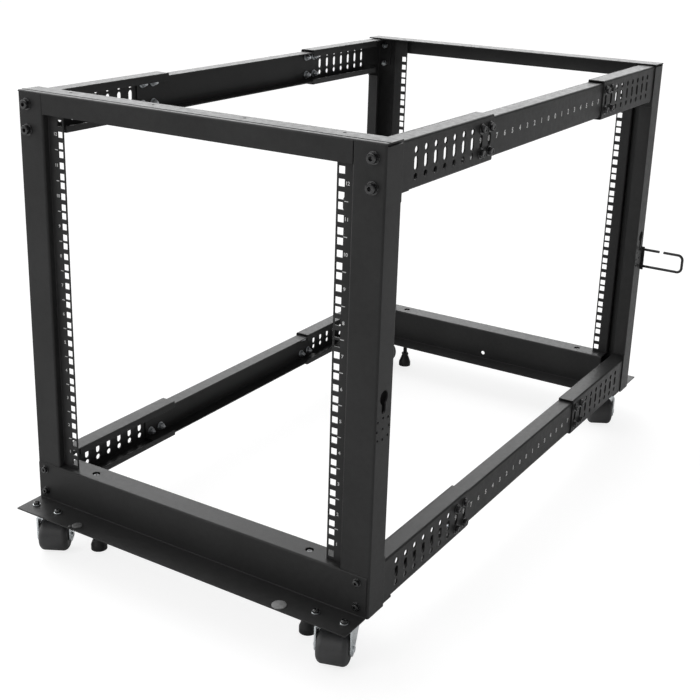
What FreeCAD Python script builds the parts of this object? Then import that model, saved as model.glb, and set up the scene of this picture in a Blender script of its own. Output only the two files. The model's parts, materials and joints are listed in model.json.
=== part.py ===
import FreeCAD, Part
import math
import os

# Four post open frame rack, adjustable in depth, on hat-section bases with swivel casters and feet.
# Millimetres. Origin: on the floor, under the middle of the rack. +X right, +Y to the rear, +Z up.

os.makedirs("parts", exist_ok=True)

V = FreeCAD.Vector

# ---------------------------------------------------------------- rack standard
unit = 44.45                        # one rack unit
units = 12                          # height of the bay in units
hole_pitch_x = 465.1                # across the bay, hole column to hole column
hole_side = 9.5                     # square mounting hole
hole_steps = (6.35, 22.225, 38.1)   # three holes in every unit, from its lower line

# ---------------------------------------------------------------- frame
mount_depth = 972.8             # front mounting face to rear mounting face
frame_width = 600.0             # over the posts
sheet = 2.0                     # folded steel
bend = 3.0                      # outer radius of a fold
post_depth = 40.0               # side plate, front edge to rear edge
flange_in = 6.55                # mounting flange, from the hole column towards the bay
flange_out = 21.45              # and towards the post's face
face_step = 11.0                # face stands this far ahead of the mounting face
beam_gap = 5.0                  # top of the bay to the lower edge of the top beam
beam_height = 30.0
beam_end_gap = 0.3              # beam's face to the post's face
side_relief = 2.5               # side plate stops this far under the top beam
beam_hole_r = 2.5
beam_hole_pitch = 150.0
beam_hole_y = 17.0

# ---------------------------------------------------------------- base (hat section)
foot_height = 66.0              # floor to the underside of the base
base_height = 62.0
base_top_depth = 40.0
flange_front = 49.0             # flange on the outer side
flange_back = 40.0              # flange on the inner side
flange_chamfer = 12.0
base_end_gap = 3.0              # end of the base, inside the post's side
base_top_gap = 0.5              # top plate to the post's face
foot_hole_r = 6.0
foot_inset = 105.0              # foot, from the side of the frame
foot_y = 6.0                    # from the mounting face, inwards
bay_lift = 4.0                  # base top to the lower line of the bay
web_hole_r = 4.0
web_hole_up = 13.0

# ---------------------------------------------------------------- side rails
rail_height = 63.5
rail_width = 28.0
rail_drop = 1.0                 # rail under the top beam
rail_low_lift = 1.0             # lower rail's top over the lower line of the bay
slot_first = 65.0               # first column of holes from the mounting face
hole_pitch = 25.4
columns = 9
column_end = 11.2               # last column to the end of the channel
mid_columns = 2                 # columns that the middle channel covers
mid_gap = 2.0                   # middle channel inside the end channel, top and bottom
round_r = 4.5
slot_long = 17.5
slot_wide = 9.0
row_step = 16.55                # rows above and below the row of slots
flange_start = 50.0             # lower flange starts this far from the mounting face
nose_y = 32.0                   # web of the upper rear channels is cut back before this
nose_r = 10.0

# ---------------------------------------------------------------- post's side plate
return_wide = 22.0              # return flange along its inner edge, from the side of the frame
return_gap = 10.0               # return flange to the side rails, below and above
keyhole_z = 249.6               # above the base top
keyhole_y = 7.3
keyhole_head_r = 9.5
keyhole_neck = 10.0
keyhole_drop = 17.2
dots_z = 206.8                  # middle of the ring of small holes
dot_r = 2.0
dot_step = 14.9
dot_diagonal = 12.6

# ---------------------------------------------------------------- casters
wheel_r = 25.0
wheel_wide = 44.0
wheel_round = 8.0
wheel_clear = 0.0               # wheel's lowest point above the floor
caster_inset = 42.0             # swivel axis, from the side of the frame
caster_front_y = -15.6          # swivel axis, from the front mounting face
caster_rear_y = 29.6            # swivel axis, ahead of the rear mounting face
caster_trail = 19.0
caster_yaw = {"front_right": 18.0, "front_left": 30.0, "rear_right": 30.0, "rear_left": 95.0}
plate_side = 60.0
plate_thick = 2.5
plate_corner = 4.0
race_r = 17.0
race_high = 5.0
race_gap = 0.3
fork_sheet = 2.5
fork_half = 16.5                # fork's top, behind the swivel axis
leg_clear = 1.5                 # wheel side to fork leg
tip_r = 10.0
axle_r = 4.0
axle_clear = 0.08
axle_out = 1.5
king_r = 5.0
king_clear = 0.08

# ---------------------------------------------------------------- levelling feet
stem_r = 4.0
stem_clear = 0.08
stem_under = 12.0               # top of the stem under the base's top
foot_pad_r = 12.5
foot_rim_high = 8.0
foot_pad_high = 25.0
foot_neck_r = 6.0
bracket_thick = 3.0
bracket_half = 20.0
nut_flats = 13.0
nut_high = 7.0

# ---------------------------------------------------------------- cable ring
ring_rod_r = 2.5
ring_plate = 2.0
ring_lap = 30.0                 # plate on the post's face
ring_out = 4.0                  # plate beyond the post's side
ring_reach = 79.5               # rod beyond the post's side
ring_gap_x = 32.0               # gap in the upper bar, from the post's side
ring_gap = 8.0
ring_z = 186.0                  # centre line of its lower bar, above the base top
ring_high = 33.0
ring_corner = 9.0
ring_edge = 6.0

# ---------------------------------------------------------------- derived
half_w = frame_width / 2.0
hole_x = hole_pitch_x / 2.0
mount_edge_x = hole_x - flange_in
face_in_x = hole_x + flange_out
base_low = foot_height
base_top = base_low + base_height
bay_low = base_top + bay_lift
bay_top = bay_low + unit * units
beam_low = bay_top + beam_gap
rack_top = beam_low + beam_height
upper_rail_top = rack_top - sheet - rail_drop
lower_rail_top = bay_low + rail_low_lift
return_low = lower_rail_top + return_gap
return_high = upper_rail_top - rail_height - return_gap
base_half = half_w - base_end_gap
foot_x = half_w - foot_inset
caster_x = half_w - caster_inset
rail_end_y = slot_first + hole_pitch * (columns - 1) + column_end
mid_reach = slot_first + hole_pitch * (columns - mid_columns - 0.5)
leg_out = wheel_wide / 2.0 + leg_clear + fork_sheet
axle_z = wheel_clear + wheel_r
fork_z = base_low - plate_thick - race_high - race_gap

# The right front corner is made first. Its mounting face is at y = ym.
ym = -mount_depth / 2.0
yf = ym - face_step                 # post's face
web_y = yf - sheet                  # base, outer face of the outer web
inner_y = web_y + base_top_depth    # base, outer face of the inner web


def save(name, shape):
    shape.exportStep("parts/%s.step" % name)


def box(x0, x1, y0, y1, z0, z1):
    b = Part.makeBox(abs(x1 - x0), abs(y1 - y0), abs(z1 - z0))
    b.translate(V(min(x0, x1), min(y0, y1), min(z0, z1)))
    return b


def cyl(r, h, base, axis):
    return Part.makeCylinder(r, h, V(*base), V(*axis))


def fuse(shapes):
    out = shapes[0].multiFuse(shapes[1:]) if len(shapes) > 1 else shapes[0]
    return out.removeSplitter()


def cut(shape, tools):
    return shape.cut(Part.makeCompound(tools)) if tools else shape


def prism(points, direction):
    """Closed polygon of (x, y, z) points swept along a vector."""
    pts = [V(*p) for p in points]
    face = Part.Face(Part.makePolygon(pts + [pts[0]]))
    return face.extrude(V(*direction))


def mirror_x(shape):
    return shape.mirror(V(0, 0, 0), V(1, 0, 0))


def mirror_y(shape):
    return shape.mirror(V(0, 0, 0), V(0, 1, 0))


def place(shape, sx, sy):
    """A shape made for the right front corner, moved to the corner (sx, sy)."""
    if sx < 0:
        shape = mirror_x(shape)
    if sy > 0:
        shape = mirror_y(shape)
    return shape


def in_xy(z):
    return lambda a, b: V(a, b, z)


def in_xz(y):
    return lambda a, b: V(a, y, b)


def in_yz(x):
    return lambda a, b: V(x, a, b)


def rounded_run(points, radii, lift):
    """Edges along an open run of 2-D points, each inner corner rounded by its radius."""
    edges = []
    start = points[0]
    for i in range(1, len(points) - 1):
        (px, py), (qx, qy), (rx, ry) = points[i - 1], points[i], points[i + 1]
        la = math.hypot(qx - px, qy - py)
        lb = math.hypot(rx - qx, ry - qy)
        ax, ay = (qx - px) / la, (qy - py) / la
        bx, by = (rx - qx) / lb, (ry - qy) / lb
        turn = math.acos(max(-1.0, min(1.0, ax * bx + ay * by)))
        t = radii[i] * math.tan(turn / 2.0)
        a = (qx - ax * t, qy - ay * t)
        b = (qx + bx * t, qy + by * t)
        cx, cy = bx - ax, by - ay
        lc = math.hypot(cx, cy)
        depth = radii[i] * (1.0 / math.cos(turn / 2.0) - 1.0)
        m = (qx + cx / lc * depth, qy + cy / lc * depth)
        edges.append(Part.makeLine(lift(*start), lift(*a)))
        edges.append(Part.Arc(lift(*a), lift(*m), lift(*b)).toShape())
        start = b
    edges.append(Part.makeLine(lift(*start), lift(*points[-1])))
    return edges


def folded(points, lift, sweep, thick=sheet, radius=bend):
    """Folded sheet: its face follows the points, its thickness lies to their left."""
    sides = []
    for (p, q) in zip(points[:-1], points[1:]):
        d = math.hypot(q[0] - p[0], q[1] - p[1])
        sides.append((-(q[1] - p[1]) / d, (q[0] - p[0]) / d))
    back = [(points[0][0] + sides[0][0] * thick, points[0][1] + sides[0][1] * thick)]
    near = [0.0]
    far = [0.0]
    for i in range(1, len(points) - 1):
        (ax, ay), (bx, by) = sides[i - 1], sides[i]
        k = thick / (1.0 + ax * bx + ay * by)
        back.append((points[i][0] + (ax + bx) * k, points[i][1] + (ay + by) * k))
        left_turn = ax * by - ay * bx > 0
        near.append(radius if left_turn else radius - thick)
        far.append(radius - thick if left_turn else radius)
    back.append((points[-1][0] + sides[-1][0] * thick, points[-1][1] + sides[-1][1] * thick))
    near.append(0.0)
    far.append(0.0)
    edges = rounded_run(points, near, lift)
    edges.append(Part.makeLine(lift(*points[-1]), lift(*back[-1])))
    edges += rounded_run(back[::-1], far[::-1], lift)
    edges.append(Part.makeLine(lift(*back[0]), lift(*points[0])))
    return Part.Face(Part.Wire(edges)).extrude(V(*sweep))


def make_post():
    outline = [(mount_edge_x, ym), (face_in_x, ym), (face_in_x, yf), (half_w, yf), (half_w, yf + post_depth)]
    with_return = outline + [(half_w - return_wide, yf + post_depth)]
    top = rack_top - sheet
    # the return flange runs between the two side rails
    low = folded(outline, in_xy(base_low), (0, 0, return_low - base_low))
    middle = folded(with_return, in_xy(return_low), (0, 0, return_high - return_low))
    high = folded(outline, in_xy(return_high), (0, 0, top - return_high))
    body = fuse([low, middle, high])
    tools = []
    # the mounting flange stands on the base, the face and the side run down past it
    tools.append(box(mount_edge_x - 1, face_in_x + bend, yf - 1, ym + sheet + 1, base_low - 1, base_top))
    # the side plate stops short of the top beam
    tools.append(box(half_w - sheet - 1, half_w + 1, yf + bend, yf + post_depth + 1, top - side_relief, top + 1))
    # square mounting holes
    h = hole_side / 2.0
    for u in range(units):
        for step in hole_steps:
            z = bay_low + unit * u + step
            tools.append(box(hole_x - h, hole_x + h, ym - 1, ym + sheet + 1, z - h, z + h))
    # keyhole in the side plate
    x = half_w - sheet - 1
    through = sheet + 2
    y = ym + keyhole_y
    z = base_top + keyhole_z
    low = z - keyhole_drop
    neck = keyhole_neck / 2.0
    tools.append(cyl(keyhole_head_r, through, (x, y, z), (1, 0, 0)))
    tools.append(box(x, x + through, y - neck, y + neck, low, z))
    tools.append(cyl(neck, through, (x, y, low), (1, 0, 0)))
    # ring of small holes under it
    for a in (-1, 0, 1):
        for b in (-1, 0, 1):
            reach = dot_diagonal if a * b != 0 else dot_step
            tools.append(cyl(dot_r, through, (x, y + a * reach, base_top + dots_z + b * reach), (1, 0, 0)))
    return cut(body, tools)


def make_top_beam():
    outline = [(yf + post_depth, rack_top), (yf, rack_top), (yf, beam_low)]
    body = folded(outline, in_yz(-half_w), (frame_width, 0, 0))
    tools = []
    end = face_in_x - beam_end_gap
    for s in (-1, 1):
        # the face ends at the posts, the top runs over them
        tools.append(box(s * end, s * (half_w + 1), yf - 1, yf + bend + 1, beam_low - 1, rack_top - sheet))
        for k in (0.5, 1.5):
            x = s * k * beam_hole_pitch
            tools.append(cyl(beam_hole_r, sheet + 2, (x, ym + beam_hole_y, rack_top - sheet - 1), (0, 0, 1)))
    return cut(body, tools)


def make_base():
    shelf = base_low + sheet
    outline = [(inner_y + flange_back, shelf), (inner_y, shelf), (inner_y, base_top),
               (web_y, base_top), (web_y, shelf), (web_y - flange_front, shelf)]
    body = folded(outline, in_yz(-base_half), (2 * base_half, 0, 0))
    tools = []
    end = face_in_x - base_top_gap
    edge = inner_y + flange_back
    c = flange_chamfer
    for s in (-1, 1):
        # top plate and inner web end beside the posts
        tools.append(box(s * end, s * (base_half + 1), web_y + sheet, inner_y + bend, shelf, base_top + 1))
        tools.append(prism([(s * base_half, edge + 1, base_low - 1), (s * (base_half + 1), edge + 1, base_low - 1),
                            (s * (base_half + 1), edge - c, base_low - 1), (s * base_half, edge - c, base_low - 1),
                            (s * (base_half - c), edge, base_low - 1), (s * (base_half - c), edge + 1, base_low - 1)],
                           (0, 0, sheet + 2)))
        tools.append(cyl(foot_hole_r, sheet + 2, (s * foot_x, ym + foot_y, base_top - sheet - 1), (0, 0, 1)))
    tools.append(cyl(web_hole_r, sheet + 2, (0, inner_y - sheet - 1, base_low + web_hole_up), (0, 1, 0)))
    return cut(body, tools)


def make_rail_end(z_top, nosed):
    """End channel of a side rail, right front, with its tab behind the post's face."""
    x1 = half_w - sheet
    xin = x1 - rail_width
    y0 = yf + sheet
    y1 = ym + rail_end_y
    z0 = z_top - rail_height
    ys = ym + flange_start
    channel = folded([(xin, z0), (x1, z0), (x1, z_top), (xin, z_top)], in_xz(ys), (0, y1 - ys, 0))
    angle = folded([(x1, z0), (x1, z_top), (xin, z_top)], in_xz(y0 + bend), (0, ys - y0 - bend, 0))
    tab = folded([(xin, y0), (x1, y0), (x1, y0 + 2 * bend)], in_xy(z0), (0, 0, rail_height - bend))
    body = fuse([channel, angle, tab])
    tools = []
    if nosed:
        # web is cut back at its lower corner, with a round nose
        yn = ym + nose_y
        low = box(xin - 1, x1 + 1, y0 - 1, yn + nose_r, z0 - 1, z0 + nose_r)
        tools.append(low.cut(cyl(nose_r, rail_width + 4, (xin - 2, yn + nose_r, z0 + nose_r), (1, 0, 0))))
    x = x1 - sheet - 1
    through = sheet + 2
    zc = z_top - rail_height / 2.0
    half = (slot_long - slot_wide) / 2.0
    w = slot_wide / 2.0
    for i in range(columns):
        y = ym + slot_first + hole_pitch * i
        for s in (-1, 1):
            tools.append(cyl(round_r, through, (x, y, zc + s * row_step), (1, 0, 0)))
            tools.append(cyl(w, through, (x, y, zc + s * half), (1, 0, 0)))
        tools.append(box(x, x + through, y - w, y + w, zc - half, zc + half))
    return cut(body, tools)


def make_rail_middle(z_top):
    """Middle channel of a right side rail, inside the two end channels."""
    x1 = half_w - 2 * sheet
    xin = half_w - sheet - rail_width
    y0 = ym + mid_reach
    z1 = z_top - sheet - mid_gap
    z0 = z_top - rail_height + sheet + mid_gap
    return folded([(xin, z0), (x1, z0), (x1, z1), (xin, z1)], in_xz(y0), (0, -2 * y0, 0))


def make_foot():
    """Levelling foot and its stem, right front, turned in one."""
    stem_top = base_top - stem_under
    outline = [(0, 0), (foot_pad_r, 0), (foot_pad_r, foot_rim_high), (foot_neck_r, foot_pad_high),
               (stem_r, foot_pad_high), (stem_r, stem_top), (0, stem_top)]
    pts = [V(r, 0, z) for (r, z) in outline]
    body = Part.Face(Part.makePolygon(pts + [pts[0]])).revolve(V(0, 0, 0), V(0, 0, 1), 360)
    body.translate(V(foot_x, ym + foot_y, 0))
    return body


def make_foot_bracket():
    """Cross plate in the base's open underside: it takes the foot's stem and the caster's inner bolts."""
    x0 = foot_x - bracket_half
    x1 = caster_x + plate_side / 2.0 - plate_corner
    plate = box(x0, x1, web_y + sheet, inner_y - sheet, base_low, base_low + bracket_thick)
    notch = box(face_in_x - base_top_gap, x1 + 1, web_y + sheet - 1, yf + sheet + race_gap, base_low - 1, base_top)
    r = nut_flats / math.sqrt(3.0)
    hexagon = []
    for k in range(6):
        a = math.radians(60 * k)
        hexagon.append((foot_x + r * math.cos(a), ym + foot_y + r * math.sin(a), base_low + bracket_thick))
    body = fuse([plate.cut(notch), prism(hexagon, (0, 0, nut_high))])
    bore = cyl(stem_r + stem_clear, bracket_thick + nut_high + 2, (foot_x, ym + foot_y, base_low - 1), (0, 0, 1))
    return cut(body, [bore])


def caster_axis(rear):
    """Swivel axis (x, y) of a right caster."""
    return (caster_x, -ym - caster_rear_y) if rear else (caster_x, ym + caster_front_y)


def set_caster(shape, x, y, yaw):
    """A caster part made about its swivel axis, turned and moved to (x, y)."""
    shape.rotate(V(0, 0, 0), V(0, 0, 1), yaw)
    shape.translate(V(x, y, 0))
    return shape


def make_caster_plate(x, y):
    z0 = base_low - plate_thick
    half = plate_side / 2.0
    plate = box(-half, half, -half, half, z0, base_low)
    upright = [e for e in plate.Edges if abs(e.Vertexes[0].Z - e.Vertexes[-1].Z) > plate_thick / 2]
    plate = plate.makeFillet(plate_corner, upright)
    race = cyl(race_r, race_high, (0, 0, z0 - race_high), (0, 0, 1))
    king_long = fork_sheet + race_gap
    king = cyl(king_r, king_long, (0, 0, z0 - race_high - king_long), (0, 0, 1))
    body = fuse([plate, race, king])
    body.translate(V(x, y, 0))
    return body


def make_fork():
    """Fork about its swivel axis: a folded strip, cut to its side outline."""
    front = -caster_trail - tip_r
    low = axle_z - tip_r
    strip = [(leg_out, low), (leg_out, fork_z), (-leg_out, fork_z), (-leg_out, low)]
    body = folded(strip, in_xz(front), (0, fork_half - front, 0), fork_sheet, bend + 0.5)
    # rear edge of the leg: from under the top down to a tangent on the round tip
    px, pz = fork_half, fork_z - 10.0
    dx, dz = px + caster_trail, pz - axle_z
    reach = math.hypot(dx, dz)
    a = math.atan2(dz, dx) - math.acos(tip_r / reach)
    touch = (-caster_trail + tip_r * math.cos(a), axle_z + tip_r * math.sin(a))
    lift = in_yz(-leg_out - 1)
    b = (a + math.radians(-180)) / 2.0
    mid = (-caster_trail + tip_r * math.cos(b), axle_z + tip_r * math.sin(b))
    run = [(front, axle_z), (front, fork_z), (fork_half, fork_z), (px, pz), touch]
    edges = [Part.makeLine(lift(*p), lift(*q)) for (p, q) in zip(run[:-1], run[1:])]
    edges.append(Part.Arc(lift(*touch), lift(*mid), lift(front, axle_z)).toShape())
    side = Part.Face(Part.Wire(edges)).extrude(V(2 * leg_out + 2, 0, 0))
    body = body.common(side)
    body = cut(body, [cyl(king_r + king_clear, fork_sheet + 2, (0, 0, fork_z - fork_sheet - 1), (0, 0, 1))])
    axle = cyl(axle_r, 2 * (leg_out + axle_out), (-leg_out - axle_out, -caster_trail, axle_z), (1, 0, 0))
    return fuse([body, axle])


def make_wheel():
    w = cyl(wheel_r, wheel_wide, (-wheel_wide / 2, -caster_trail, axle_z), (1, 0, 0))
    rims = [e for e in w.Edges if isinstance(e.Curve, Part.Circle)]
    w = w.makeFillet(wheel_round, rims)
    bore = cyl(axle_r + axle_clear, wheel_wide + 4, (-wheel_wide / 2 - 2, -caster_trail, axle_z), (1, 0, 0))
    return w.cut(bore)


def make_ring():
    """Cable ring behind the right rear post: a plate on its face and a bent rod with a gap."""
    y0 = -yf
    z0 = base_top + ring_z
    z1 = z0 + ring_high
    plate = box(half_w - ring_lap, half_w + ring_out, y0, y0 + ring_plate, z0 - ring_edge, z1 + ring_edge)
    yc = y0 + ring_plate + ring_rod_r - 0.5
    x0 = half_w - ring_lap / 2.0
    x1 = half_w + ring_reach - ring_rod_r
    gap0 = half_w + ring_gap_x
    run = [(gap0 + ring_gap, z1), (x1, z1), (x1, z0), (x0, z0)]
    c = ring_corner
    path = Part.Wire(rounded_run(run, [0, c, c, 0], in_xz(yc)))
    circle = Part.Wire(Part.makeCircle(ring_rod_r, V(gap0 + ring_gap, yc, z1), V(1, 0, 0)))
    rod = path.makePipeShell([circle], True, True)
    stub = cyl(ring_rod_r, gap0 - x0, (x0, yc, z1), (1, 0, 0))
    return fuse([plate, stub, rod])


# ---------------------------------------------------------------- build and save
corners = [("front_right", 1, -1), ("front_left", -1, -1), ("rear_right", 1, 1), ("rear_left", -1, 1)]

post = make_post()
foot = make_foot()
bracket = make_foot_bracket()
for (name, sx, sy) in corners:
    save("post_" + name, place(post, sx, sy))
    save("foot_" + name, place(foot, sx, sy))

beam = make_top_beam()
save("top_beam_front", beam)
save("top_beam_rear", mirror_y(beam))

base = make_base()
save("base_front", base)
save("base_rear", mirror_y(base))

for (name, sx, sy) in corners:
    save("foot_bracket_" + name, place(bracket, sx, sy))

for (level, z_top) in (("upper", upper_rail_top), ("lower", lower_rail_top)):
    for (name, sx, sy) in corners:
        end = make_rail_end(z_top, level == "upper" and sy > 0)
        save("rail_end_%s_%s" % (level, name), place(end, sx, sy))
    middle = make_rail_middle(z_top)
    save("rail_middle_%s_right" % level, middle)
    save("rail_middle_%s_left" % level, mirror_x(middle))

for (name, sx, sy) in corners:
    x, y = caster_axis(sy > 0)
    x = sx * x
    save("caster_plate_" + name, make_caster_plate(x, y))
    save("caster_fork_" + name, set_caster(make_fork(), x, y, caster_yaw[name]))
    save("caster_wheel_" + name, set_caster(make_wheel(), x, y, caster_yaw[name]))

ring = make_ring()
save("cable_ring_right", ring)
save("cable_ring_left", mirror_x(ring))
print("built")
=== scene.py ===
import json
import math

import bmesh
import bpy
from mathutils import Matrix, Vector


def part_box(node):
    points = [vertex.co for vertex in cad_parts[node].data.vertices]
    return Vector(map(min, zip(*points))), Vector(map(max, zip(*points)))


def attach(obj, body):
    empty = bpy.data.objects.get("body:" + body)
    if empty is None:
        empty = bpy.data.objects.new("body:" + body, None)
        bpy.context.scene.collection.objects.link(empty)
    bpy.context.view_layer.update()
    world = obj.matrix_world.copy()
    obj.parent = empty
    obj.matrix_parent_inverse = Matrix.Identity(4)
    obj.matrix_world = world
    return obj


# Four post open frame rack: materials, bolts, nuts, lips of the rails' end channels, printed marks, threads,
# studio and camera. Metres, in the frame of the CAD model: +X right, +Y to the rear, +Z up, floor at z = 0.

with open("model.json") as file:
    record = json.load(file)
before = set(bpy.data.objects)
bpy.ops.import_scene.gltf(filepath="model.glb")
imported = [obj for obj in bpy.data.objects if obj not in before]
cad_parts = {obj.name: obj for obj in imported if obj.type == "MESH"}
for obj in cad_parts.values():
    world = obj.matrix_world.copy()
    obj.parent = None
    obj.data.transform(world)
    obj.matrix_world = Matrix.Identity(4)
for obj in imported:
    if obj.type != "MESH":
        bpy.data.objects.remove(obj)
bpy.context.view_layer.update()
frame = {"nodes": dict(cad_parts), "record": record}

MM = 0.001
SINK = 0.2 * MM                     # how far a washer or pad reaches into the sheet under it
CORNERS = [("front_right", 1, -1), ("front_left", -1, -1), ("rear_right", 1, 1), ("rear_left", -1, 1)]

# ---------------------------------------------------------------- sizes, shared with the CAD model
UNIT = 44.45 * MM
UNITS = 12
HOLE_X = 465.1 / 2 * MM             # column of square holes
BAY_LIFT = 4.0 * MM                 # bay's lower line over the base's top
FACE_STEP = 11.0 * MM               # post's face ahead of its mounting face
SHEET = 2.0 * MM
ROW_STEP = 16.55 * MM               # rail's rows of round holes from its middle
SLOT_FIRST = 65.0 * MM
HOLE_PITCH = 25.4 * MM
COLUMNS = 9
CASTER_TRAIL = 19.0 * MM
CASTER_YAW = {"front_right": 18.0, "front_left": 30.0, "rear_right": 30.0, "rear_left": 95.0}  # at rest
CASTER_BOLT = 22.25 * MM            # caster bolts from the swivel axis, both ways
LEG_OUT = 26.0 * MM                 # fork's outer faces from the wheel's middle
WHEEL_HALF = 22.0 * MM              # wheel's sides from its middle
WEB_FROM_EDGE = 49.0 * MM           # base's outer web from its flange's edge
PLATE_THICK = 2.5 * MM              # caster plate
RACE_DOWN = 7.5 * MM                # underside of the swivel race, below the base
FACE_EDGE = 21.45 * MM              # post's face from the column of holes
WASHER_HIGH = 1.2 * MM
NUT_FLATS = 10.0 * MM
# thread past a nut: radius, length and pitch
BOLT_END = (3.0 * MM, 4.0 * MM, 1.0 * MM)
# socket screws: radius and height of the head, then of the washer
POST_SCREW = (6.5 * MM, 6.5 * MM, 8.5 * MM, 1.4 * MM)
BASE_SCREW = (4.6 * MM, 4.4 * MM, 6.2 * MM, 1.0 * MM)
# heights of nuts, a head and a washer
POST_NUT, RAIL_NUT = 4.8 * MM, 5.0 * MM
RAIL_HEAD = 5.2 * MM
CASTER_WASHER = 1.3 * MM
STEM_LOW = 24.0 * MM                # where the thread of a foot starts
LIP_TOP, LIP_BOTTOM = 12.0 * MM, 9.5 * MM
LIP_START = 50.0 * MM               # where the lips start, from the mounting face
FOLD = 2.4 * MM                     # outer radius of the fold between flange and lip
PROUD = 0.1 * MM                    # lips ahead of the flanges' edges
PRINT = 0.06 * MM                   # printed marks ahead of the steel
BOLT_X = 17.0 * MM                  # post bolts, in from the side of the frame
BOLT_DOWN = (15.5 * MM, 51.5 * MM)  # and below the rail's top

post_lo, post_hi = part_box("post_front_right")
base_lo, base_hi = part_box("base_front")
HALF_W = post_hi.x
FACE_Y = post_lo.y                  # front posts' face
MOUNT_Y = FACE_Y + FACE_STEP
BASE_TOP = base_hi.z
BAY_LOW = BASE_TOP + BAY_LIFT


# ---------------------------------------------------------------- materials
def node(nt, kind, x, y, **values):
    n = nt.nodes.new(kind)
    n.location = (x, y)
    for key, value in values.items():
        setattr(n, key, value)
    return n


def new_material(name):
    m = bpy.data.materials.new(name)
    m.use_nodes = True
    nt = m.node_tree
    bsdf = nt.nodes["Principled BSDF"]
    return m, nt, bsdf


def ramp(nt, x, y, stops):
    r = node(nt, "ShaderNodeValToRGB", x, y)
    r.color_ramp.elements[0].position = stops[0][0]
    r.color_ramp.elements[0].color = (*stops[0][1], 1)
    r.color_ramp.elements[1].position = stops[-1][0]
    r.color_ramp.elements[1].color = (*stops[-1][1], 1)
    for pos, col in stops[1:-1]:
        e = r.color_ramp.elements.new(pos)
        e.color = (*col, 1)
    return r


def noise(nt, coord, scale, detail, x, y, rough=0.5):
    n = node(nt, "ShaderNodeTexNoise", x, y)
    n.inputs["Scale"].default_value = scale
    n.inputs["Detail"].default_value = detail
    n.inputs["Roughness"].default_value = rough
    nt.links.new(coord, n.inputs["Vector"])
    return n.outputs["Fac"]


def spread(nt, value, low, high, x, y, from_low=0.3, from_high=0.7):
    r = node(nt, "ShaderNodeMapRange", x, y)
    r.inputs["From Min"].default_value = from_low
    r.inputs["From Max"].default_value = from_high
    r.inputs["To Min"].default_value = low
    r.inputs["To Max"].default_value = high
    nt.links.new(value, r.inputs["Value"])
    return r.outputs["Result"]


def surface(name, dark, light, rough, metallic=0.0, grain=(900, 0.00012), cloud=9.0, specular=0.5, bevel=0.0):
    """Procedural finish: clouded colour, uneven gloss and a fine grain as bump."""
    m, nt, bsdf = new_material(name)
    coord = node(nt, "ShaderNodeTexCoord", -1300, 0).outputs["Object"]
    wide = noise(nt, coord, cloud, 4.0, -900, 240)
    mid = noise(nt, coord, cloud * 14, 3.0, -900, 0)
    mix = node(nt, "ShaderNodeMath", -700, 140, operation="MULTIPLY_ADD")
    mix.inputs[1].default_value = 0.35
    nt.links.new(mid, mix.inputs[0])
    scaled = node(nt, "ShaderNodeMath", -900, 420, operation="MULTIPLY")
    scaled.inputs[1].default_value = 0.65
    nt.links.new(wide, scaled.inputs[0])
    nt.links.new(scaled.outputs[0], mix.inputs[2])
    colour = ramp(nt, -500, 240, [(0.34, dark), (0.66, light)])
    nt.links.new(mix.outputs[0], colour.inputs["Fac"])
    nt.links.new(colour.outputs["Color"], bsdf.inputs["Base Color"])
    nt.links.new(spread(nt, mid, rough[0], rough[1], -500, -20), bsdf.inputs["Roughness"])
    bsdf.inputs["Metallic"].default_value = metallic
    bsdf.inputs["Specular IOR Level"].default_value = specular
    fine = noise(nt, coord, grain[0], 2.0, -700, -320, 0.6)
    bump = node(nt, "ShaderNodeBump", -250, -300)
    bump.inputs["Strength"].default_value = 0.6
    bump.inputs["Distance"].default_value = grain[1]
    nt.links.new(fine, bump.inputs["Height"])
    if bevel:
        edge = node(nt, "ShaderNodeBevel", -500, -460)
        edge.samples = 4
        edge.inputs["Radius"].default_value = bevel
        nt.links.new(edge.outputs["Normal"], bump.inputs["Normal"])
    nt.links.new(bump.outputs["Normal"], bsdf.inputs["Normal"])
    return m


COAT = ((0.0218, 0.0217, 0.0217), (0.0300, 0.0299, 0.0299), (0.34, 0.44))
steel = surface("black_powder_coat", *COAT, specular=0.17, bevel=0.0005)
steel_flat = surface("black_powder_coat_seam", *COAT, specular=0.17)
wire = surface("black_wire_paint", (0.010, 0.010, 0.0105), (0.016, 0.016, 0.0165), (0.34, 0.46))
zinc = surface("bright_zinc", (0.60, 0.64, 0.66), (0.78, 0.81, 0.82), (0.22, 0.38), metallic=1.0,
               grain=(500, 0.00008), cloud=40.0, bevel=0.0004)
tread = surface("wheel_nylon", (0.029, 0.029, 0.030), (0.050, 0.050, 0.051), (0.42, 0.58),
                grain=(1400, 0.0001), cloud=24.0)
rubber = surface("foot_plastic", (0.009, 0.009, 0.0095), (0.016, 0.016, 0.0165), (0.46, 0.6), cloud=24.0)
bolt_black = surface("black_bolt", (0.006, 0.006, 0.0065), (0.010, 0.010, 0.0105), (0.16, 0.28),
                     grain=(1500, 0.00006), cloud=60.0, specular=0.75, bevel=0.0004)
dull_zinc = surface("dull_zinc", (0.52, 0.54, 0.56), (0.68, 0.70, 0.72), (0.34, 0.5), metallic=1.0,
                    grain=(500, 0.00008), cloud=40.0, bevel=0.0004)
stem_steel = surface("stem_steel", (0.16, 0.16, 0.165), (0.24, 0.24, 0.245), (0.4, 0.55), metallic=0.7,
                     grain=(500, 0.00008), cloud=40.0, bevel=0.0004)
# one grey disc in two copies: the right copy is painted lighter, a painted reflection of the bright surround;
# the dim copy below is the same disc painted darker as painted shade
label = surface("grey_label", (0.17, 0.17, 0.17), (0.24, 0.24, 0.24), (0.5, 0.62),
                grain=(900, 0.00003), cloud=90.0)
shaded_label_copy = surface("grey_label_painted_shade", (0.050, 0.050, 0.050), (0.085, 0.085, 0.085), (0.5, 0.62),
                    grain=(900, 0.00003), cloud=90.0)
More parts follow.
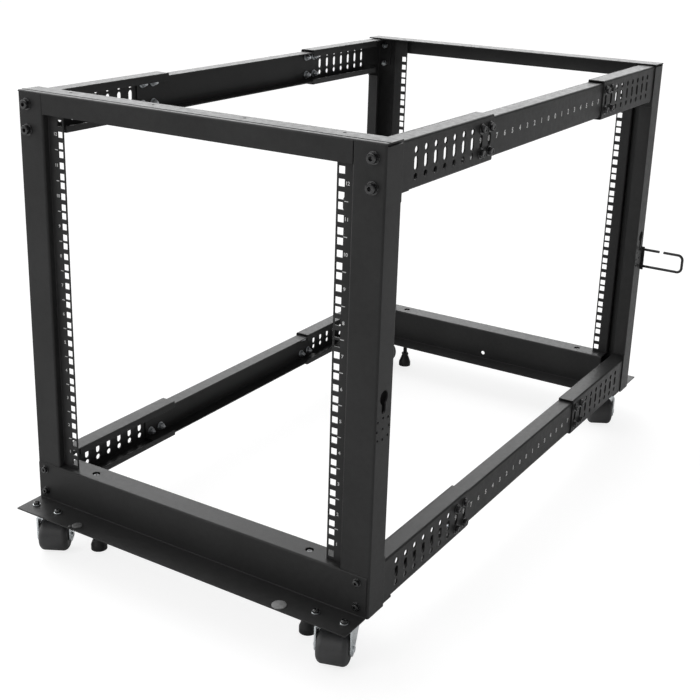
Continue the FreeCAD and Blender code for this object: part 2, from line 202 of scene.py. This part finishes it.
paint_dim = surface("printed_marks_dim", (0.50, 0.50, 0.50), (0.62, 0.62, 0.62), (0.45, 0.6),
                    grain=(2500, 0.00002), cloud=70.0)
paint = surface("printed_marks", (0.70, 0.70, 0.69), (0.80, 0.80, 0.79), (0.45, 0.6),
                grain=(2500, 0.00002), cloud=70.0)

FINISH = {"black_steel": steel, "black_wire": wire, "zinc": zinc, "wheel_plastic": tread,
          "foot_plastic": rubber}
slots = {s["node"]: s["material_slot"] for s in frame["record"]["subparts"]}
for name, obj in frame["nodes"].items():
    obj.data.materials.clear()
    obj.data.materials.append(FINISH[slots[name]])


# ---------------------------------------------------------------- mesh helpers
SMOOTH_ANGLE = math.radians(35.0)


def finish_piece(name, bm, material, body):
    """Mesh object from a bmesh, smooth up to a limit, riding on a body."""
    bmesh.ops.recalc_face_normals(bm, faces=bm.faces)
    me = bpy.data.meshes.new(name)
    bm.to_mesh(me)
    bm.free()
    obj = bpy.data.objects.new(name, me)
    bpy.context.scene.collection.objects.link(obj)
    me.materials.append(material)
    me.polygons.foreach_set("use_smooth", [True] * len(me.polygons))
    me.set_sharp_from_angle(angle=SMOOTH_ANGLE)
    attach(obj, body)


def aim(axis):
    """Rotation that takes +Z to the axis."""
    return Vector(axis).normalized().to_track_quat("Z", "Y").to_matrix().to_4x4()


def bar(bm, x0, x1, y0, y1, z0, z1):
    """Box between two limits on each axis."""
    corners = [bm.verts.new((x, y, z)) for x in (x0, x1) for y in (y0, y1) for z in (z0, z1)]
    for f in ((0, 1, 3, 2), (4, 6, 7, 5), (0, 4, 5, 1), (2, 3, 7, 6), (0, 2, 6, 4), (1, 5, 7, 3)):
        bm.faces.new([corners[i] for i in f])


def stand(at, axis, turn=0.0):
    """Place for a round piece: its foot at a point, its own Z along the axis."""
    return Matrix.Translation(Vector(at)) @ aim(axis) @ Matrix.Rotation(turn, 4, "Z")


def ring(bm, place, radius, height, steps):
    """Points round the axis. The radius and the height may each be a function of the angle."""
    points = []
    for i in range(steps):
        a = 2 * math.pi * i / steps
        r = radius(a) if callable(radius) else radius
        h = height(a) if callable(height) else height
        points.append(bm.verts.new(place @ Vector((r * math.cos(a), r * math.sin(a), h))))
    return points


def skin(bm, rings):
    """Faces from each ring to the next. A ring of one point makes a fan."""
    for low, high in zip(rings[:-1], rings[1:]):
        steps = max(len(low), len(high))
        for i in range(steps if steps > 1 else 0):
            j = (i + 1) % steps
            if len(low) == 1:
                bm.faces.new((low[0], high[j], high[i]))
            elif len(high) == 1:
                bm.faces.new((low[i], low[j], high[0]))
            else:
                bm.faces.new((low[i], low[j], high[j], high[i]))


def hexagonal(a, flats):
    """Reach of a hexagon's side at an angle."""
    return flats / 2 / math.cos((a % (math.pi / 3)) - math.pi / 6)


def lathe(bm, outline, at, axis=(0, 0, 1), steps=32):
    """Closed turned solid: outline of (radius, height) from the axis out and back to it."""
    place = stand(at, axis)
    skin(bm, [ring(bm, place, r, h, steps if r else 1) for r, h in outline])


def washer(bm, radius, at, axis):
    """Washer of a rail bolt, its rim broken."""
    edge = 0.3 * MM
    lathe(bm, [(0, -SINK), (radius, -SINK), (radius, WASHER_HIGH - edge), (radius - edge, WASHER_HIGH),
               (0, WASHER_HIGH)], at, axis)


def hexagon(bm, flats, height, at, axis=(0, 0, 1), turn=0.0):
    """Hex head or nut with chamfered corners and a dished top."""
    place = stand(at, axis, turn)
    corner = flats / math.sqrt(3)
    chamfer = flats * 0.12
    dish = flats * 0.36
    sides = 36
    rings = [ring(bm, place, lambda a: min(hexagonal(a, flats), limit), h, sides)
             for h, limit in ((0.0, corner), (height - chamfer, corner), (height, corner - chamfer))]
    rings.append(ring(bm, place, dish, height, sides))
    rings.append(ring(bm, place, dish * 0.8, height - chamfer * 0.6, sides))
    skin(bm, rings)
    bm.faces.new(rings[0][::-1])
    bm.faces.new(rings[-1])


def socket_screw(bm, at, axis, head_r, head_h, washer_r, washer_h, turn):
    """Socket head screw on its washer."""
    lathe(bm, [(0, -SINK), (washer_r, -SINK), (washer_r, washer_h * 0.8),
               (washer_r - washer_h * 0.2, washer_h), (head_r, washer_h), (0, washer_h)], at, axis)
    place = stand(at, axis, turn)
    steps = 48
    low, top = washer_h, washer_h + head_h
    socket = head_r * math.cos(math.pi / 6)
    rings = [ring(bm, place, r, h, steps) for r, h in ((head_r, low), (head_r, top - 0.6 * MM),
                                                       (head_r - 0.25 * MM, top - 0.2 * MM),
                                                       (head_r - 0.8 * MM, top))]
    rings += [ring(bm, place, lambda a: hexagonal(a, socket), h, steps) for h in (top, top - head_h * 0.55)]
    skin(bm, rings)
    bm.faces.new(rings[0][::-1])
    bm.faces.new(rings[-1])


def threaded_rod(bm, at, axis, radius, length, pitch, steps=20):
    """Thread as a helix of small ridges round a core, ends closed."""
    place = stand(at, axis)
    turns = max(1, int(length / pitch))
    last = turns * 2
    depth = pitch * 0.45

    def climb(k, a):
        if k in (0, last):
            return length if k else 0.0
        return min(length, max(0.0, (k / 2.0 + a / (2 * math.pi) - 0.5) * pitch))

    rings = [ring(bm, place, radius if k % 2 else radius - depth, lambda a: climb(k, a), steps)
             for k in range(last + 1)]
    skin(bm, rings)
    bm.faces.new(rings[0][::-1])
    bm.faces.new(rings[-1])


# ---------------------------------------------------------------- bolts through the posts, rails and bases
upper_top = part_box("rail_end_upper_front_right")[1].z
lower_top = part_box("rail_end_lower_front_right")[1].z
web_y = base_lo.y + WEB_FROM_EDGE   # outer face of the base's outer web
plate_low = base_lo.z - PLATE_THICK

# every head and nut is turned its own way
for corner, sx, sy in CORNERS:
    bm = bmesh.new()
    x = sx * (HALF_W - BOLT_X)
    for down in BOLT_DOWN:
        socket_screw(bm, (x, -sy * FACE_Y, upper_top - down), (0, sy, 0), *POST_SCREW, down * 300 + sx)
        socket_screw(bm, (x, -sy * web_y, lower_top - down), (0, sy, 0), *BASE_SCREW, down * 500 - sx)
    finish_piece("post_bolts_" + corner, bm, bolt_black, "frame")
    # their nuts, behind the rail's tab
    bm = bmesh.new()
    back = -sy * (FACE_Y + 2 * SHEET)
    for top in (upper_top, lower_top):
        for down in BOLT_DOWN:
            hexagon(bm, NUT_FLATS, POST_NUT, (x, back, top - down), (0, -sy, 0), down * 700 + sx)
            threaded_rod(bm, (x, back - sy * (POST_NUT - 2 * SINK), top - down), (0, -sy, 0), *BOLT_END)
    finish_piece("post_bolt_nuts_" + corner, bm, zinc, "frame")

rail_out = HALF_W - SHEET           # outer face of the end channel's web
rail_in = rail_out - 2 * SHEET      # inner face of the middle channel's web
for corner, sx, sy in CORNERS:
    heads = bmesh.new()
    nuts = bmesh.new()
    for level in ("upper", "lower"):
        lo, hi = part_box("rail_end_%s_%s" % (level, corner))
        zc = (lo.z + hi.z) / 2
        for column in (COLUMNS - 2, COLUMNS - 1):
            y = sy * (-MOUNT_Y - SLOT_FIRST - HOLE_PITCH * column)
            for s in (-1, 1):
                z = zc + s * ROW_STEP
                turn = 0.7 * column + 1.9 * s + sx + (0.4 if level == "upper" else 1.3)
                head = rail_out + WASHER_HIGH
                nut = rail_in - WASHER_HIGH
                washer(heads, 7.5 * MM, (sx * rail_out, y, z), (sx, 0, 0))
                hexagon(heads, NUT_FLATS, RAIL_HEAD, (sx * head, y, z), (sx, 0, 0), turn)
                washer(nuts, 7.0 * MM, (sx * rail_in, y, z), (-sx, 0, 0))
                hexagon(nuts, NUT_FLATS, RAIL_NUT, (sx * nut, y, z), (-sx, 0, 0), turn + 0.5)
                threaded_rod(nuts, (sx * (nut - RAIL_NUT + 2 * SINK), y, z), (-sx, 0, 0), *BOLT_END)
    finish_piece("rail_bolt_heads_" + corner, heads, bolt_black, "frame")
    finish_piece("rail_bolt_nuts_" + corner, nuts, dull_zinc, "frame")

# lips along the inner edges of the end channels' flanges, with a rounded fold to the flange
for level in ("upper", "lower"):
    for corner, sx, sy in CORNERS:
        lo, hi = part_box("rail_end_%s_%s" % (level, corner))
        edge = min(abs(lo.x), abs(hi.x)) - PROUD
        y0, y1 = -sy * (MOUNT_Y + LIP_START), (hi.y if sy < 0 else lo.y)
        bm = bmesh.new()
        for z, s, high in ((hi.z + PROUD / 2, -1, LIP_TOP), (lo.z - PROUD / 2, 1, LIP_BOTTOM)):
            line = [(edge + SHEET, z), (edge + SHEET, z + s * high), (edge, z + s * high)]
            for i in range(7):
                a = math.pi / 2 * i / 6
                line.append((edge + FOLD - FOLD * math.cos(a), z + s * (FOLD - FOLD * math.sin(a))))
            ends = [[bm.verts.new((sx * x, y, h)) for x, h in line] for y in (y0, y1)]
            skin(bm, ends)
            bm.faces.new(ends[0])
            bm.faces.new(ends[1][::-1])
        finish_piece("rail_lips_%s_%s" % (level, corner), bm, steel, "frame")


# ---------------------------------------------------------------- caster and foot hardware
for corner, sx, sy in CORNERS:
    lo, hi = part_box("caster_plate_" + corner)
    cx, cy = (lo.x + hi.x) / 2, (lo.y + hi.y) / 2
    # bolts through the caster plate: the outer row shows on the base's flange
    shelf = base_lo.z + SHEET
    washers = bmesh.new()
    heads = bmesh.new()
    for k in (-1, 1):
        at = (cx + k * CASTER_BOLT, cy - CASTER_BOLT, shelf)
        lathe(washers, [(0, -SINK), (5.8 * MM, -SINK), (5.8 * MM, 1.0 * MM), (5.4 * MM, CASTER_WASHER),
                        (0, CASTER_WASHER)], at, (0, 0, 1), 40)
        lathe(heads, [(0, 0), (4.9 * MM, 0), (4.9 * MM, 1.6 * MM), (4.5 * MM, 2.9 * MM), (3.7 * MM, 3.7 * MM),
                      (2.6 * MM, 4.1 * MM), (2.3 * MM, 3.0 * MM), (0, 3.0 * MM)],
              (at[0], at[1], shelf + CASTER_WASHER), (0, 0, 1), 40)
        for row in (-1, 1):
            low = (at[0], cy + row * CASTER_BOLT, plate_low)
            hexagon(washers, NUT_FLATS, 3.0 * MM, low, (0, 0, -1), 0.3 + k + row)
    finish_piece("caster_bolt_washers_" + corner, washers, zinc, "frame")
    finish_piece("caster_bolts_" + corner, heads, bolt_black, "frame")

    # axle ends, on the fork
    wlo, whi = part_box("caster_wheel_" + corner)
    yaw = math.radians(CASTER_YAW[corner])
    axle = Vector((math.cos(yaw), math.sin(yaw), 0))
    centre = Vector((cx + CASTER_TRAIL * axle.y, cy - CASTER_TRAIL * axle.x, (wlo.z + whi.z) / 2))
    bm = bmesh.new()
    for k in (-1, 1):
        lathe(bm, [(0, 0), (5.2 * MM, 0), (5.2 * MM, 0.9 * MM), (4.7 * MM, 1.7 * MM), (3.6 * MM, 2.2 * MM),
                   (3.2 * MM, 1.8 * MM), (0, 1.8 * MM)], centre + k * LEG_OUT * axle, k * axle, 40)
    finish_piece("caster_axle_ends_" + corner, bm, zinc, "caster_" + corner)

    # swivel race: a bowl under the caster plate
    race_low = base_lo.z - RACE_DOWN
    bm = bmesh.new()
    bowl = [(0, 0.2 * MM), (16.0 * MM, 0.2 * MM), (18.5 * MM, 0.0), (19.5 * MM, 1.2 * MM),
            (18.6 * MM, 2.8 * MM), (17.2 * MM, 4.6 * MM), (0, 4.6 * MM)]
    lathe(bm, bowl, (cx, cy, race_low), (0, 0, 1), 48)
    finish_piece("caster_race_" + corner, bm, zinc, "frame")

    # wheel: a hub boss each side
    bm = bmesh.new()
    for k in (-1, 1):
        lathe(bm, [(0, 0), (8.5 * MM, 0), (8.5 * MM, 0.9 * MM), (7.9 * MM, 1.3 * MM), (0, 1.3 * MM)],
              centre + k * (WHEEL_HALF - 2 * SINK) * axle, k * axle, 40)
    finish_piece("wheel_trim_" + corner, bm, tread, "wheel_" + corner)

    # foot: threaded stem and a hexagon to turn it by
    flo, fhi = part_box("foot_" + corner)
    fx, fy = (flo.x + fhi.x) / 2, (flo.y + fhi.y) / 2
    bm = bmesh.new()
    threaded_rod(bm, (fx, fy, STEM_LOW), (0, 0, 1), 4.25 * MM, fhi.z - STEM_LOW - 0.5 * MM, 1.25 * MM, 24)
    hexagon(bm, 13.0 * MM, 5.0 * MM, (fx, fy, STEM_LOW + 0.6 * MM), (0, 0, 1), 0.2 + sx)
    finish_piece("foot_thread_" + corner, bm, rubber, "foot_%s_screw" % corner)
    # end of the stem, seen in the hole of the base's top
    bm = bmesh.new()
    lathe(bm, [(0, 0), (4.2 * MM, 0), (4.2 * MM, 9.6 * MM), (3.7 * MM, 10.2 * MM), (1.4 * MM, 10.2 * MM),
               (1.4 * MM, 9.2 * MM), (0, 9.2 * MM)], (fx, fy, fhi.z - 0.3 * MM), (0, 0, 1), 32)
    finish_piece("foot_stem_end_" + corner, bm, stem_steel, "foot_%s_screw" % corner)


# ---------------------------------------------------------------- round pads on the front flange
# the right pad carries the painted reflection, the left pad and its dot the painted shade of the same grey
# disc
for name, x, y, r, material in (("flange_pad_right", 186.0, -538.0, 10.4, label),
                                ("flange_pad_left", -183.0, -537.0, 8.0, shaded_label_copy),
                                ("flange_dot_left", -190.5, -545.0, 2.2, shaded_label_copy)):
    bm = bmesh.new()
    top = base_lo.z + SHEET
    lathe(bm, [(0, -SINK), (r * MM, -SINK), (r * MM, 0.8 * MM), ((r - 0.3) * MM, 1.2 * MM),
               ((r - 0.9) * MM, 1.5 * MM), (0, 1.6 * MM)], (x * MM, y * MM, top), (0, 0, 1), 48)
    finish_piece(name, bm, material, "frame")

# ---------------------------------------------------------------- seams of the front and rear top beams
beam_lo, beam_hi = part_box("top_beam_front")
face_in = HOLE_X + FACE_EDGE
STRIP_IN, STRIP_OUT = 0.45 * MM, 0.15 * MM      # strip's edges from the post's edge
STRIP_BACK, STRIP_DEEP = 0.06 * MM, 1.6 * MM    # its faces, behind the beam's face
BEAD_BACK = 9.5 * MM                            # bead's middle, behind the beam's face
BEAD_HALF, BEAD_HIGH = 0.45 * MM, 0.5 * MM
for side, sy in (("front", -1), ("rear", 1)):
    bm = bmesh.new()
    for sx in (-1, 1):
        # backs the hairline between the beam's face and the post's face
        bar(bm, sx * (face_in - STRIP_IN), sx * (face_in + STRIP_OUT), -sy * (FACE_Y + STRIP_BACK),
            -sy * (FACE_Y + STRIP_DEEP), beam_lo.z, beam_hi.z - SHEET)
    if sy < 0:
        # bead along the top
        bead_y = beam_lo.y + BEAD_BACK
        bar(bm, beam_lo.x, beam_hi.x, bead_y - BEAD_HALF, bead_y + BEAD_HALF, beam_hi.z - SINK / 2,
            beam_hi.z + BEAD_HIGH)
    finish_piece("beam_seams_" + side, bm, steel_flat, "frame")


# ---------------------------------------------------------------- printed unit marks
def number_mesh(text, size, bold):
    """Flat mesh of a number, centred, in Blender's own plain font."""
    curve = bpy.data.curves.new("digits", "FONT")
    curve.body = text
    curve.size = size
    curve.offset = bold
    curve.align_x = "CENTER"
    curve.align_y = "CENTER"
    curve.resolution_u = 3
    obj = bpy.data.objects.new("digits", curve)
    bpy.context.scene.collection.objects.link(obj)
    dg = bpy.context.evaluated_depsgraph_get()
    me = bpy.data.meshes.new_from_object(obj.evaluated_get(dg))
    bpy.data.objects.remove(obj)
    bpy.data.curves.remove(curve)
    return me


DASH_X = HOLE_X + 7.8 * MM
DASH_LONG, DASH_THICK = 2.7 * MM, 0.55 * MM     # half of each
MARK_X = HOLE_X + 8.9 * MM
UNIT_DIGIT = (6.6 * MM, 0.15 * MM)              # size and boldness
DEPTH_DIGIT = (10.5 * MM, 0.3 * MM)
digits = [number_mesh(str(u + 1), *UNIT_DIGIT) for u in range(UNITS)]
for corner, sx, sy in CORNERS:
    bm = bmesh.new()
    y = -sy * MOUNT_Y + sy * PRINT
    # read from the front of the rack at the front posts, from behind at the rear ones
    turn = Matrix.Rotation(math.radians(90), 4, "X")
    if sy > 0:
        turn = Matrix.Rotation(math.pi, 4, "Z") @ turn
    for u in range(UNITS + 1):
        z = BAY_LOW + UNIT * u
        if 0 < u < UNITS:
            x0, x1 = sx * (DASH_X - DASH_LONG), sx * (DASH_X + DASH_LONG)
            z0, z1 = z - DASH_THICK, z + DASH_THICK
            quad = ((x0, y, z0), (x1, y, z0), (x1, y, z1), (x0, y, z1))
            bm.faces.new([bm.verts.new(p) for p in quad])
        if u < UNITS:
            count = len(bm.verts)
            bm.from_mesh(digits[u])
            bm.verts.ensure_lookup_table()
            at = Matrix.Translation(Vector((sx * MARK_X, y, z + UNIT / 2))) @ turn
            bmesh.ops.transform(bm, matrix=at, verts=bm.verts[count:])
    bmesh.ops.solidify(bm, geom=bm.faces[:], thickness=PRINT * 0.8)
    finish_piece("unit_marks_" + corner, bm, paint_dim, "frame")

# ---------------------------------------------------------------- printed depth digits on the middle rails
STEPS = 10
depth_digits = [number_mesh(str(i), *DEPTH_DIGIT) for i in range(STEPS)]
for level in ("upper", "lower"):
    for side, sx in (("right", 1), ("left", -1)):
        lo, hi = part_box("rail_middle_%s_%s" % (level, side))
        face = hi.x + PRINT if sx > 0 else lo.x - PRINT
        turn = Matrix.Rotation(math.radians(90 * sx), 4, "Z") @ Matrix.Rotation(math.radians(90), 4, "X")
        bm = bmesh.new()
        for i in range(2 * STEPS):
            value = STEPS - 1 - i if i < STEPS else i - STEPS
            count = len(bm.verts)
            bm.from_mesh(depth_digits[value])
            bm.verts.ensure_lookup_table()
            at = Vector((face, (i - STEPS + 0.5) * HOLE_PITCH, (lo.z + hi.z) / 2))
            bmesh.ops.transform(bm, matrix=Matrix.Translation(at) @ turn, verts=bm.verts[count:])
        bmesh.ops.solidify(bm, geom=bm.faces[:], thickness=PRINT * 0.8)
        finish_piece("depth_marks_%s_%s" % (level, side), bm, paint, "frame")

# ---------------------------------------------------------------- studio
WORLD_FRONT = 0.30
WORLD_REAR = 3.0
world = bpy.data.worlds.new("studio")
bpy.context.scene.world = world
world.use_nodes = True
wt = world.node_tree
wt.nodes.clear()
out = node(wt, "ShaderNodeOutputWorld", 600, 0)
# bright behind the rack on its left, dimmer elsewhere
where = node(wt, "ShaderNodeTexCoord", -900, 100)
toward = node(wt, "ShaderNodeVectorMath", -700, 100, operation="DOT_PRODUCT")
toward.inputs[1].default_value = (-1.0, 0.6, 0.0)
wt.links.new(where.outputs["Generated"], toward.inputs[0])
fade = node(wt, "ShaderNodeMapRange", -480, 100, interpolation_type="SMOOTHSTEP")
fade.inputs["From Min"].default_value = 0.40
fade.inputs["From Max"].default_value = 0.82
fade.inputs["To Min"].default_value = WORLD_FRONT
fade.inputs["To Max"].default_value = WORLD_REAR
wt.links.new(toward.outputs["Value"], fade.inputs["Value"])
background = node(wt, "ShaderNodeBackground", 200, 100)
background.inputs["Color"].default_value = (0.995, 0.998, 1.0, 1)
wt.links.new(fade.outputs["Result"], background.inputs["Strength"])
white = node(wt, "ShaderNodeBackground", 200, -60)
white.inputs["Strength"].default_value = 1.0
white.inputs["Color"].default_value = (1, 1, 1, 1)
path = node(wt, "ShaderNodeLightPath", 0, 300)
pick = node(wt, "ShaderNodeMixShader", 420, 0)
wt.links.new(path.outputs["Is Camera Ray"], pick.inputs[0])
wt.links.new(background.outputs[0], pick.inputs[1])
wt.links.new(white.outputs[0], pick.inputs[2])
wt.links.new(pick.outputs[0], out.inputs[0])


def softbox(name, at, target, size, power):
    lamp = bpy.data.lights.new(name, "AREA")
    lamp.shape = "RECTANGLE"
    lamp.size, lamp.size_y = size
    lamp.energy = power
    obj = bpy.data.objects.new(name, lamp)
    obj.location = at
    obj.rotation_euler = (Vector(target) - Vector(at)).to_track_quat("-Z", "Y").to_euler()
    bpy.context.scene.collection.objects.link(obj)


softbox("key_light", (-1.8, -4.8, 3.6), (0, 0, 0.35), (3.0, 3.0), 92)
softbox("top_light", (-0.4, 0.4, 3.0), (0, 0, 0.3), (2.4, 2.4), 14)

FLOOR_SIZE = 14.0
FLOOR_GLOW = 0.80
bm = bmesh.new()
bmesh.ops.create_grid(bm, x_segments=4, y_segments=4, size=FLOOR_SIZE)
floor_mesh = bpy.data.meshes.new("floor")
bm.to_mesh(floor_mesh)
bm.free()
floor = bpy.data.objects.new("floor", floor_mesh)
bpy.context.scene.collection.objects.link(floor)
floor_mat, nt, bsdf = new_material("floor_white")
bsdf.inputs["Base Color"].default_value = (0.80, 0.80, 0.80, 1)
bsdf.inputs["Roughness"].default_value = 0.9
bsdf.inputs["Specular IOR Level"].default_value = 0.1
# seen by the camera the floor is near white and keeps a faint shadow
faint = node(nt, "ShaderNodeBsdfDiffuse", 0, -200)
faint.inputs["Color"].default_value = (0.30, 0.30, 0.30, 1)
glow = node(nt, "ShaderNodeEmission", 0, -340)
glow.inputs["Color"].default_value = (1, 1, 1, 1)
glow.inputs["Strength"].default_value = FLOOR_GLOW
add = node(nt, "ShaderNodeAddShader", 220, -240)
path = node(nt, "ShaderNodeLightPath", 0, 400)
choose = node(nt, "ShaderNodeMixShader", 440, 100)
nt.links.new(faint.outputs[0], add.inputs[0])
nt.links.new(glow.outputs[0], add.inputs[1])
nt.links.new(path.outputs["Is Camera Ray"], choose.inputs[0])
nt.links.new(bsdf.outputs[0], choose.inputs[1])
nt.links.new(add.outputs[0], choose.inputs[2])
nt.links.new(choose.outputs[0], nt.nodes["Material Output"].inputs["Surface"])
floor_mesh.materials.append(floor_mat)

# ---------------------------------------------------------------- camera, at the photograph's angle
CAMERA_AT = (0.98239, -1.68502, 0.96665)
YAW, PITCH, ROLL = math.radians(-31.8405), math.radians(-18.5594), math.radians(1.7181)
FOCAL, SHIFT_X, SHIFT_Y = 61.795, 0.01197, -0.06853
forward = Vector((math.sin(YAW) * math.cos(PITCH), math.cos(YAW) * math.cos(PITCH), math.sin(PITCH)))
across = Vector((math.cos(YAW), -math.sin(YAW), 0))
above = across.cross(forward)
right = across * math.cos(ROLL) + above * math.sin(ROLL)
up = above * math.cos(ROLL) - across * math.sin(ROLL)
cam = bpy.data.cameras.new("camera")
cam.sensor_width = 36.0
cam.lens = FOCAL
cam.shift_x = SHIFT_X
cam.shift_y = SHIFT_Y
cam.clip_end = 60
camera = bpy.data.objects.new("camera", cam)
turned = Matrix((right, up, -forward)).transposed().to_4x4()
camera.matrix_world = Matrix.Translation(Vector(CAMERA_AT)) @ turned
bpy.context.scene.collection.objects.link(camera)
bpy.context.scene.camera = camera
bpy.context.scene.view_settings.view_transform = "Standard"
